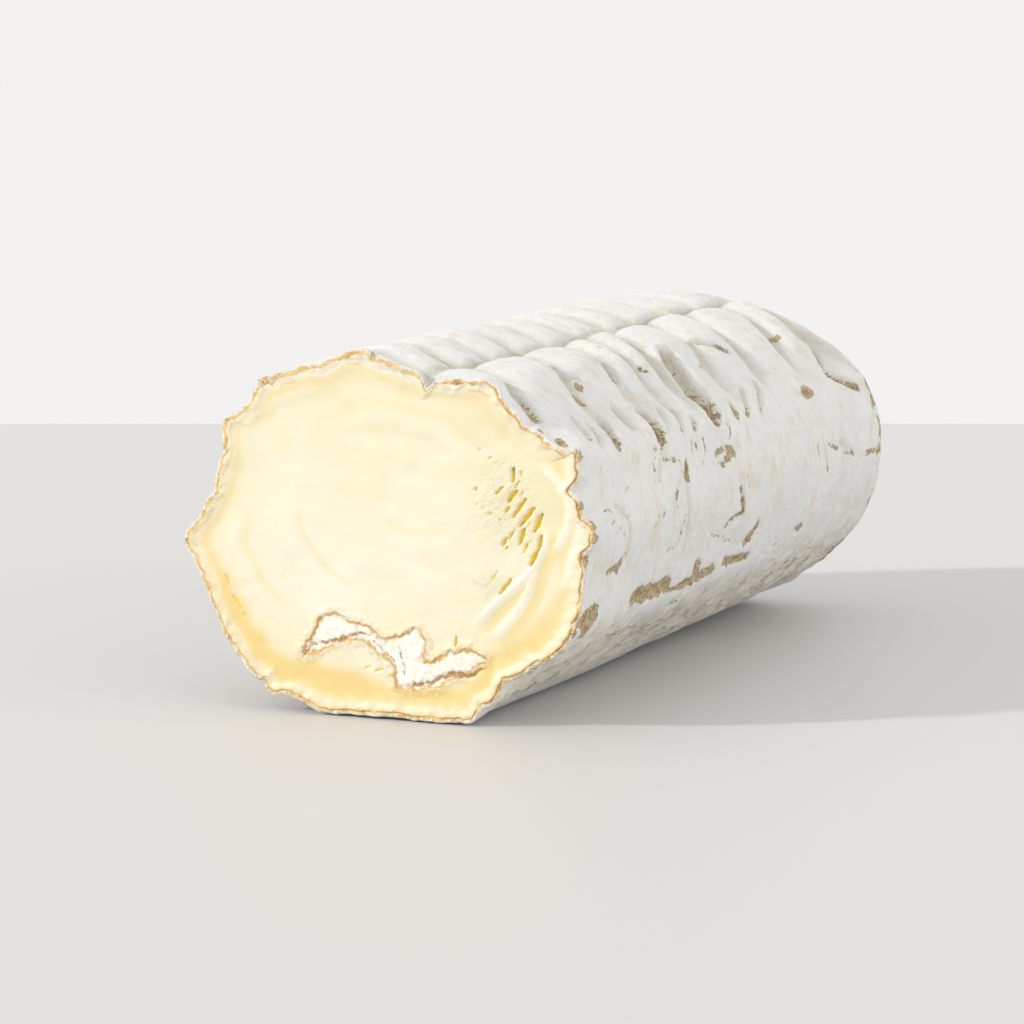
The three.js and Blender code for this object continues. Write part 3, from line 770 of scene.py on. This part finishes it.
def shape_paste(paste, rim):
    """Draws the plain cylinder to the inside of the rind, with the cut face's relief."""
    co = places(paste)
    turn, radius = turn_and_radius(co)
    face = co[:, 1] < -0.9999
    share = (co[:, 1] + 1) / 2
    at_rim = np.interp(turn, rim[0], rim[1], period=1) + PASTE_INSET
    sunk = at_rim + (PASTE_SUNK - at_rim) * smooth(0, 0.03, share)
    outline = on_section(turn, at_rim)[0]
    behind = on_section(turn, sunk, smooth(0, 0.03, share) + smooth(*ROUND_FROM, share * LENGTH))[0]
    behind = MIDDLE + (behind - MIDDLE) * (1 - 0.12 * smooth(0.9, 0.97, co[:, 1]))[:, None]
    even = MIDDLE + (on_section(turn, 2.0, 1.0)[0] - MIDDLE) * radius[:, None]
    detail = smooth(0.80, 1.0, radius)[:, None]
    across = even * (1 - detail) + (MIDDLE + (outline - MIDDLE) * radius[:, None]) * detail
    point = np.where(face[:, None], across, behind)
    x, z = point.T
    flat = np.column_stack((x, x * 0, z))
    to_rim = np.linalg.norm(outline - MIDDLE, axis=1) * (1 - radius)

    ragged, coarse = clouds(flat, 1.1, 31), clouds(flat, 3.2, 32)
    edge = [(a * WIDTH, b * HEIGHT) for a, b in FISSURE]
    inside = inside_distance(x, z, edge) + 0.7 * coarse + 0.65 * ragged
    pocket = smooth(-0.3, 0.35, inside)
    fluff = 0.5 + 0.5 * clouds(flat, 1.7, 33) + 0.4 * clouds(flat, 0.8, 34)
    hole_depth, hole = hole_relief(x, z, ragged + 0.8 * clouds(flat, 0.65, 43))
    crack_depth, crack = crack_relief(x, z, ragged)
    open_grain = np.exp(-((x - 29) / 7.5) ** 2 - ((z - 50) / 10) ** 2)
    open_grain = np.maximum(open_grain, 0.8 * np.exp(-((x - 25) / 4) ** 2 - ((z - 33) / 4) ** 2))
    slant = np.column_stack((x * 1.5 - z, x * 0, (z + x) * 0.3))
    strokes = clouds(slant, 2.6, 35)
    drag, drag_shade = drag_relief(x, z)
    wave = clouds(flat * (1, 1, 0.7), 15, 36)

    out = drag + 0.18 * wave + 0.07 * clouds(flat, 5, 37)
    out += open_grain * (0.16 * strokes + 0.10 * ragged)
    out -= pocket * (0.50 - 0.55 * smooth(0.1, 0.9, inside) * fluff)
    out += 0.20 * np.exp(-((inside + 0.6) / 0.6) ** 2) * (0.4 + ragged)
    out -= hole_depth + crack_depth
    fold = smooth(70, 77, z) * smooth(-43, -37, x) * smooth(31, 27, x)
    fold *= 0.35 + 0.65 * smooth(-0.5, 0.1, clouds(flat, 9, 39))
    brim = to_rim - 0.8 * clouds(flat, 5.5, 40)
    out -= 0.22 * fold * smooth(2.4, 1.5, brim)
    out += 0.34 * smooth(3.6, 0.8, to_rim) * clouds(flat, 2.3, 38)
    low_down = smooth(46, 12, z)
    swell = to_rim + 2.5 * clouds(flat, 13, 41) + 1.0 * clouds(flat, 4.5, 42)
    ripe = smooth(8.0 + 1.5 * low_down, 4.0, swell) * (0.36 + 0.72 * low_down) * (1 - 0.005 * x)
    ripe += 0.18 * smooth(18, 8, swell) * (1 - ripe)
    recess = PASTE_RECESS + 0.45 * smooth(0.5, 5, to_rim)
    depth = np.where(face, np.maximum(recess - out, 0.02), share * (LENGTH - 6))
    depth = np.where(~face, np.maximum(depth, PASTE_RECESS + 0.9), depth)
    put(paste, np.clip(np.column_stack((x, FRONT + depth, z)), LOW, HIGH) * MM)

    spots = {
        "from_rim": to_rim, "brim": brim, "fold": fold, "ripe": ripe, "mould": smooth(0.0, 0.6, inside),
        "fissure": inside, "crack": crack, "hole": hole, "open_grain": open_grain, "drag": drag,
        "drag_shade": drag_shade, "wave": wave, "pale": np.exp(-((x + 12) / 31) ** 2 - ((z - 36) / 19) ** 2),
    }
    for name, values in spots.items():
        keep(paste, name, np.where(face, values, 0))
    return turn, face


def map_paste(paste, turn, face):
    """A flat map that gives nearly all its room to the cut face."""
    at = Corners(paste, turn)
    on_face, on_back = at.all_of(face), (at.totals > 4)[at.face]
    across, up = (at.place[:, 0] - LOW[0]) / WIDTH, at.place[:, 2] / WIDTH
    u = np.where(on_face, 0.005 + 0.99 * across, 0.005 + 0.8 * at.around)
    v = np.where(on_face, 0.005 + 0.99 * up, 0.85 + 0.13 * (at.place[:, 1] - FRONT) / LENGTH)
    u = np.where(on_back, 0.91 + 0.07 * across, u)
    v = np.where(on_back, 0.86 + 0.07 * up, v)
    at.lay(u, v)


# ---------------------------------------------------------------- materials

class Nodes:
    """Short ways to add and join the nodes of one material."""

    def __init__(self, name):
        self.material = bpy.data.materials.new(name)
        self.material.use_nodes = True
        self.tree = self.material.node_tree
        self.shader = self.tree.nodes["Principled BSDF"]
        self.place = self.add("ShaderNodeTexCoord").outputs["Object"]
        self.colour = None  # what has been painted so far

    def add(self, kind, **settings):
        node = self.tree.nodes.new(kind)
        for name, value in settings.items():
            setattr(node, name, value)
        return node

    def feed(self, socket, value):
        if isinstance(value, bpy.types.NodeSocket):
            self.tree.links.new(value, socket)
        elif isinstance(value, tuple) and len(value) == 3 and socket.type == "RGBA":
            socket.default_value = (*value, 1)
        else:
            socket.default_value = value

    def attribute(self, name):
        return self.add("ShaderNodeAttribute", attribute_name=name).outputs["Fac"]

    def noise(self, grain, detail=4.0, rough=0.55, stretch=(1, 1, 1), warp=0.0):
        """Noise with lumps about grain mm across, from 0 to 1."""
        move = self.add("ShaderNodeMapping")
        self.feed(move.inputs["Vector"], self.place)
        move.inputs["Scale"].default_value = tuple(1 / (grain * MM * s) for s in stretch)
        node = self.add("ShaderNodeTexNoise")
        self.feed(node.inputs["Vector"], move.outputs["Vector"])
        for name, value in (("Scale", 1), ("Detail", detail), ("Roughness", rough), ("Distortion", warp)):
            node.inputs[name].default_value = value
        return node.outputs["Fac"]

    def cells(self, grain):
        """Distance to the nearest of points about grain mm apart, from 0 up."""
        move = self.add("ShaderNodeMapping")
        self.feed(move.inputs["Vector"], self.place)
        move.inputs["Scale"].default_value = (1 / (grain * MM),) * 3
        node = self.add("ShaderNodeTexVoronoi")
        self.feed(node.inputs["Vector"], move.outputs["Vector"])
        node.inputs["Scale"].default_value = 1
        return node.outputs["Distance"]

    def math(self, what, a, b=0.0, clamp=False):
        node = self.add("ShaderNodeMath", operation=what, use_clamp=clamp)
        self.feed(node.inputs[0], a)
        self.feed(node.inputs[1], b)
        return node.outputs[0]

    def times(self, a, b):
        return self.math("MULTIPLY", a, b)

    def step(self, value, low, high, out_low=0.0, out_high=1.0):
        """A smooth step between two values."""
        node = self.add("ShaderNodeMapRange", interpolation_type="SMOOTHSTEP")
        self.feed(node.inputs["Value"], value)
        ends = {"From Min": low, "From Max": high, "To Min": out_low, "To Max": out_high}
        for name, number in ends.items():
            node.inputs[name].default_value = number
        return node.outputs["Result"]

    def mix(self, share, a, b):
        """Colour a where share is 0 and b where it is 1."""
        node = self.add("ShaderNodeMix", data_type="RGBA")
        self.feed(node.inputs["Factor"], share)
        self.feed(node.inputs[6], a)
        self.feed(node.inputs[7], b)
        return node.outputs[2]

    def paint(self, tone, mask, strength=None):
        """Lays a colour over what is there, where the mask is 1."""
        share = mask if strength is None else self.times(mask, strength)
        self.colour = self.mix(share, self.colour, tone)

    def wobble(self, size, grain, detail=4.0, rough=0.55):
        """Noise centred on 0, from about -size / 2 to size / 2."""
        return self.times(self.math("SUBTRACT", self.noise(grain, detail, rough), 0.5), size)

    def constants(self, values):
        """Sets numbers and colours that are the same all over on the shader's own sockets."""
        for name, value in values.items():
            self.shader.inputs[name].default_value = value

    def bump(self, height, distance, below=None):
        """A bump whose height of 1 is this many mm."""
        node = self.add("ShaderNodeBump")
        node.inputs["Strength"].default_value = 1.0
        node.inputs["Distance"].default_value = distance * MM
        self.feed(node.inputs["Height"], height)
        if below is not None:
            self.feed(node.inputs["Normal"], below)
        return node.outputs["Normal"]


def rind_material():
    n = Nodes("white bloomy rind")
    crease_shade, stain, cut = n.attribute("crease_shade"), n.attribute("stain"), n.attribute("cut")
    low, worn_and_bounce_light, across = n.attribute("low"), n.attribute("worn_and_bounce_light"), n.attribute("cut_depth")
    middling, fine = n.noise(5, 5), n.noise(0.9, 3, 0.65)

    # The white bloom, thinner in places so that the cream under it shows.
    n.colour = n.mix(n.step(n.noise(22, 3), 0.35, 0.65), (0.765, 0.76, 0.745), (0.80, 0.79, 0.77))
    n.paint((0.70, 0.69, 0.66), n.step(n.noise(3.2, 6, 0.65), 0.42, 0.66), 0.40)
    thin = n.math("ADD", n.noise(6, 8, 0.68, (1, 1, 1.8)), n.times(worn_and_bounce_light, 0.14))
    n.paint((0.70, 0.66, 0.52), n.step(thin, 0.54, 0.63), 0.75)
    n.paint((0.815, 0.81, 0.795), n.step(middling, 0.40, 0.70), 0.30)
    # Painted shade, darker in the hollows of the relief.
    n.paint((0.70, 0.69, 0.64), n.step(low, 0.45, 0.95), 0.35)

    # The worn strip above the table, paler and warmer both as real wear and as painted bounce light from the
    # table, with its fine crinkles, then painted shade in the creases.
    n.paint((0.88, 0.83, 0.70), n.step(worn_and_bounce_light, 0.1, 1.0), 0.50)
    crinkle = n.math("ABSOLUTE", n.math("SUBTRACT", n.noise(6, 7, 0.62), 0.5))
    crinkle = n.times(n.step(crinkle, 0.030, 0.004), n.step(n.noise(15, 3), 0.42, 0.56))
    crinkle = n.times(crinkle, n.step(worn_and_bounce_light, 0.25, 0.9))
    n.paint((0.58, 0.51, 0.36), crinkle, 0.40)
    n.paint((0.50, 0.49, 0.405), crease_shade, n.step(middling, 0.2, 0.6, 0.5, 0.95))

    # Stains with ragged edges: a cream halo, tan, a darker outline and brown in the middle.
    ragged = n.math("ADD", n.wobble(2.4, 2.0, 8, 0.76), stain)
    n.paint((0.72, 0.67, 0.50), n.times(n.step(ragged, 0.10, 0.45), n.step(stain, 0.05, 0.30)), 0.7)
    tan = n.times(n.step(ragged, 0.45, 0.60), n.step(stain, 0.10, 0.25))
    n.paint((0.56, 0.39, 0.17), tan, n.step(n.noise(1.7, 5, 0.7), 0.36, 0.60, 0.95, 0.60))
    outline = n.times(n.step(ragged, 0.40, 0.50), n.step(ragged, 0.66, 0.55))
    n.paint((0.40, 0.26, 0.10), outline, n.step(stain, 0.15, 0.35, 0.0, 0.55))
    n.paint((0.33, 0.19, 0.06), n.step(ragged, 0.68, 1.10), n.times(n.step(stain, 0.2, 0.5), 0.85))
    flecks = n.times(n.step(n.noise(2.6, 8, 0.75), 0.635, 0.68), n.step(n.noise(12, 3), 0.5, 0.6))
    n.paint((0.50, 0.42, 0.26), flecks, 0.5)
    paint_cut_edge(n, cut, across, stain)
    n.feed(n.shader.inputs["Base Color"], n.colour)
    n.feed(n.shader.inputs["Roughness"], n.step(n.math("MAXIMUM", tan, cut), 0, 1, 0.93, 0.62))
    n.constants({
        "Sheen Weight": 0.12, "Sheen Roughness": 0.6, "Subsurface Weight": 0.10,
        "Subsurface Radius": (1.0, 0.85, 0.6), "Subsurface Scale": 1.0 * MM,
    })
    felt = n.bump(fine, 0.25)
    felt = n.bump(n.noise(3.0, 7, 0.68, (1, 0.8, 1)), 1.0, felt)
    felt = n.bump(crinkle, -0.30, felt)
    felt = n.bump(n.times(n.math("MAXIMUM", tan, n.times(cut, 0.3)), n.cells(1.1)), 0.8, felt)
    n.feed(n.shader.inputs["Normal"], felt)
    return n.material


def paint_cut_edge(n, cut, across, stain):
    """The rind's cut edge: white fuzz outside, then a broken golden line, then cream."""
    wander = n.math("ADD", n.wobble(1.1, 3.0, 3), n.wobble(0.8, 0.9, 4, 0.7))
    reach = n.math("ADD", across, wander)
    line = n.times(n.step(reach, 0.12, 0.26), n.step(reach, 0.92, 0.70))
    spill = n.times(cut, n.step(n.noise(2.8, 5, 0.7), 0.55, 0.62))
    on_cut = n.step(across, 0.02, 0.1)
    n.paint((0.86, 0.84, 0.79), cut, 0.7)
    n.paint((0.87, 0.77, 0.54), n.step(reach, 0.45, 0.65), on_cut)
    tone = n.mix(n.step(n.noise(1.8, 4, 0.7), 0.44, 0.60), (0.90, 0.66, 0.28), (0.74, 0.43, 0.12))
    n.paint(tone, n.times(line, on_cut), n.step(n.noise(5, 4), 0.32, 0.55, 0.45, 0.95))
    n.paint(tone, spill, 0.75)
    n.paint(tone, n.times(n.step(stain, 0.30, 0.60), n.step(cut, 0.25, 0.7)), 0.85)


def paste_material():
    n = Nodes("pale moist paste")
    from_rim, mould, fissure = n.attribute("from_rim"), n.attribute("mould"), n.attribute("fissure")
    hole, grain, drag = n.attribute("hole"), n.attribute("open_grain"), n.attribute("drag")
    ripe, fold, brim = n.attribute("ripe"), n.attribute("fold"), n.attribute("brim")
    wave, crack = n.attribute("wave"), n.attribute("crack")
    pale, drag_shade = n.attribute("pale"), n.attribute("drag_shade")
    small = n.math("SUBTRACT", n.noise(1.3, 5, 0.65), 0.5)
    streaks = n.noise(9, 5, 0.6, (1.6, 1, 0.8), 1.0)
    smears = n.noise(16, 1.5, 0.45, (1.1, 1, 1.3), 1.2)

    # Cream with paler streaks and smears, ripening to amber towards the rind.
    n.colour = n.mix(n.step(n.noise(20, 3), 0.35, 0.7), (0.80, 0.73, 0.50), (0.81, 0.765, 0.58))
    n.paint((0.83, 0.80, 0.655), n.step(streaks, 0.48, 0.66), 0.60)
    n.paint((0.79, 0.715, 0.455), n.step(smears, 0.46, 0.64), 0.35)
    n.paint((0.83, 0.80, 0.66), n.step(wave, 0.0, 0.6), 0.30)
    n.paint((0.835, 0.815, 0.705), pale, 0.60)
    tint = n.step(n.math("ADD", ripe, n.times(n.math("SUBTRACT", streaks, 0.5), 0.5)), 0.05, 1.0)
    n.paint((0.80, 0.615, 0.25), tint, 0.97)
    n.paint((0.79, 0.72, 0.45), grain, 0.35)
    # Painted shade, deeper yellow, beside each knife drag.
    n.paint((0.80, 0.66, 0.31), n.step(drag_shade, 0.05, 0.8), 0.75)
    reach = n.math("ADD", n.times(small, 1.3), n.wobble(2.2, 4, 3))
    n.paint((0.83, 0.75, 0.555), n.step(n.math("ADD", brim, reach), 4.0, 1.5), 0.80)

    # The knife's drags, the yellow slits and holes, and the fold under the rim.
    n.paint((0.84, 0.81, 0.69), n.step(drag, 0.08, 0.35), 0.7)
    torn = n.math("ADD", hole, n.wobble(2.2, 0.8, 4, 0.75))
    n.paint((0.88, 0.66, 0.11), n.step(torn, 0.30, 0.75))
    folded = n.step(fold, 0.35, 0.6)
    hem = n.math("ABSOLUTE", n.math("SUBTRACT", n.math("ADD", brim, n.times(small, 1.6)), 2.1))
    hem = n.times(n.step(hem, 0.45, 0.15), n.times(folded, n.step(n.noise(5, 3), 0.40, 0.55)))
    n.paint((0.78, 0.52, 0.20), hem, 0.8)
    n.paint((0.86, 0.83, 0.74), n.times(n.step(brim, 2.2, 1.4), folded), 0.5)

    # The open fissure: white mould inside, golden crumbs and a burnt line at its edge.
    near = n.times(n.step(fissure, -2.6, -0.3), n.step(fissure, 1.4, 0.6))
    crumbs = n.times(near, n.step(n.noise(1.6, 6, 0.75), 0.50, 0.58))
    n.paint((0.97, 0.945, 0.86), mould, 0.95)
    n.paint((0.85, 0.62, 0.28), crumbs, 0.70)
    edge = n.math("ABSOLUTE", n.math("ADD", fissure, n.times(small, 1.5)))
    burnt = n.times(n.step(edge, 0.48, 0.12), n.step(n.noise(2.2, 5, 0.7), 0.38, 0.50))
    n.paint((0.74, 0.42, 0.12), burnt, 0.9)
    speck = n.times(mould, n.step(n.noise(1.5, 5, 0.75), 0.54, 0.62))
    n.paint((0.82, 0.66, 0.40), speck, 0.50)

    # Dark hair cracks, and the golden line next to the rind.
    split = n.step(n.math("ADD", crack, n.times(small, 0.9)), -0.12, 0.12)
    split = n.times(split, n.step(n.noise(1.9, 4, 0.7), 0.36, 0.50))
    n.paint((0.50, 0.24, 0.06), split, 0.9)
    rim = n.step(n.math("ADD", from_rim, n.times(small, 2.2)), 0.60, 0.10)
    n.paint((0.84, 0.57, 0.20), rim, 0.85)
    n.feed(n.shader.inputs["Base Color"], n.colour)
    dry = n.math("MAXIMUM", mould, n.times(grain, 0.3))
    gloss = n.step(smears, 0.42, 0.58, 0.12, 0.0)
    n.feed(n.shader.inputs["Roughness"], n.math("ADD", n.step(dry, 0, 1, 0.32, 0.9), gloss))
    n.constants({
        "Subsurface Weight": 0.25, "Subsurface Radius": (1.0, 0.7, 0.35),
        "Subsurface Scale": 2.0 * MM,
    })
    soft = n.bump(n.noise(8, 3, 0.4, (1.4, 1, 0.8), 0.4), 0.40)
    soft = n.bump(n.step(smears, 0.36, 0.66), 0.22, soft)
    soft = n.bump(n.times(n.math("ADD", n.times(grain, 0.9), 0.08), n.noise(0.8, 4, 0.7)), 0.50, soft)
    soft = n.bump(n.times(n.math("MAXIMUM", mould, near), n.noise(0.9, 4, 0.7)), 0.50, soft)
    soft = n.bump(n.times(n.step(from_rim, 2.4, 0.4), n.noise(1.6, 4, 0.65)), 0.55, soft)
    soft = n.bump(n.math("MAXIMUM", split, n.times(burnt, 0.5)), -0.22, soft)
    n.feed(n.shader.inputs["Normal"], soft)
    return n.material


# ---------------------------------------------------------------- the two pieces

def make_rind():
    rind = plain_rind()
    layout, rim = shape_rind(rind)
    map_rind(rind, *layout)
    face_outwards()
    rind.data.materials.append(rind_material())
    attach(rind, "root")
    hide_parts("cheese_log")
    return rim


def make_paste(rim):
    paste = plain_paste()
    layout = shape_paste(paste, rim)
    map_paste(paste, *layout)
    face_outwards()
    paste.data.materials.append(paste_material())
    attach(paste, "root")
    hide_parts("cheese_log")


# ---------------------------------------------------------------- table, light and camera

TABLE_HALF, TABLE_NEAR, TABLE_FAR = 0.9, -1.3, 0.53  # its extent as seen by the camera
SUN_HEIGHT = math.radians(27)
CAMERA_PLACE = (0.3806, -0.9104, 0.1636)
CAMERA_HEADING = math.radians(23.42)
CAMERA_PITCH = math.radians(7.42)
SENSOR_WIDTH, FOCAL_LENGTH = 36, 140.6  # mm


def make_table():
    bpy.ops.object.select_all(action="DESELECT")
    bpy.ops.mesh.primitive_plane_add(size=2)
    table = bpy.context.object
    table.name = "table"
    corners = places(table)
    right, ahead = corners[:, 0] * TABLE_HALF, np.where(corners[:, 1] > 0, TABLE_FAR, TABLE_NEAR)
    turned, level = math.sin(CAMERA_HEADING), math.cos(CAMERA_HEADING)
    put(table, np.column_stack((right * level - ahead * turned, right * turned + ahead * level, right * 0)))
    n = Nodes("plain pale table")
    n.feed(n.shader.inputs["Base Color"], (0.605, 0.60, 0.595))
    n.shader.inputs["Roughness"].default_value = 0.5
    table.data.materials.append(n.material)


def add_sun(name, strength, degrees, towards, colour):
    """A distant light as wide as this many degrees, shining towards a direction."""
    light = bpy.data.lights.new(name, "SUN")
    light.energy, light.angle, light.color = strength, math.radians(degrees), colour
    lamp = bpy.data.objects.new(name, light)
    lamp.rotation_euler = Vector(towards).to_track_quat("-Z", "Y").to_euler()
    bpy.context.collection.objects.link(lamp)


def make_lights():
    world = bpy.data.worlds.new("studio")
    bpy.context.scene.world = world
    world.use_nodes = True
    sky = world.node_tree.nodes["Background"]
    sky.inputs["Color"].default_value = (0.87, 0.86, 0.85, 1)
    sky.inputs["Strength"].default_value = 1.03
    add_sun("window", 1.88, 4, (0.763, 0.646, -math.tan(SUN_HEIGHT)), (1.0, 0.98, 0.94))
    add_sun("white card", 0.92, 70, (-0.92, 0.20, -0.24), (1.0, 1.0, 1.0))


def make_camera():
    data = bpy.data.cameras.new("camera")
    data.sensor_width, data.lens = SENSOR_WIDTH, FOCAL_LENGTH
    camera = bpy.data.objects.new("camera", data)
    level, down = math.cos(CAMERA_PITCH), math.sin(CAMERA_PITCH)
    look = Vector((-math.sin(CAMERA_HEADING) * level, math.cos(CAMERA_HEADING) * level, -down))
    camera.location = CAMERA_PLACE
    camera.rotation_euler = look.to_track_quat("-Z", "Y").to_euler()
    bpy.context.collection.objects.link(camera)
    bpy.context.scene.camera = camera


make_paste(make_rind())
make_table()
make_lights()
make_camera()
bpy.context.scene.view_settings.view_transform = "Standard"
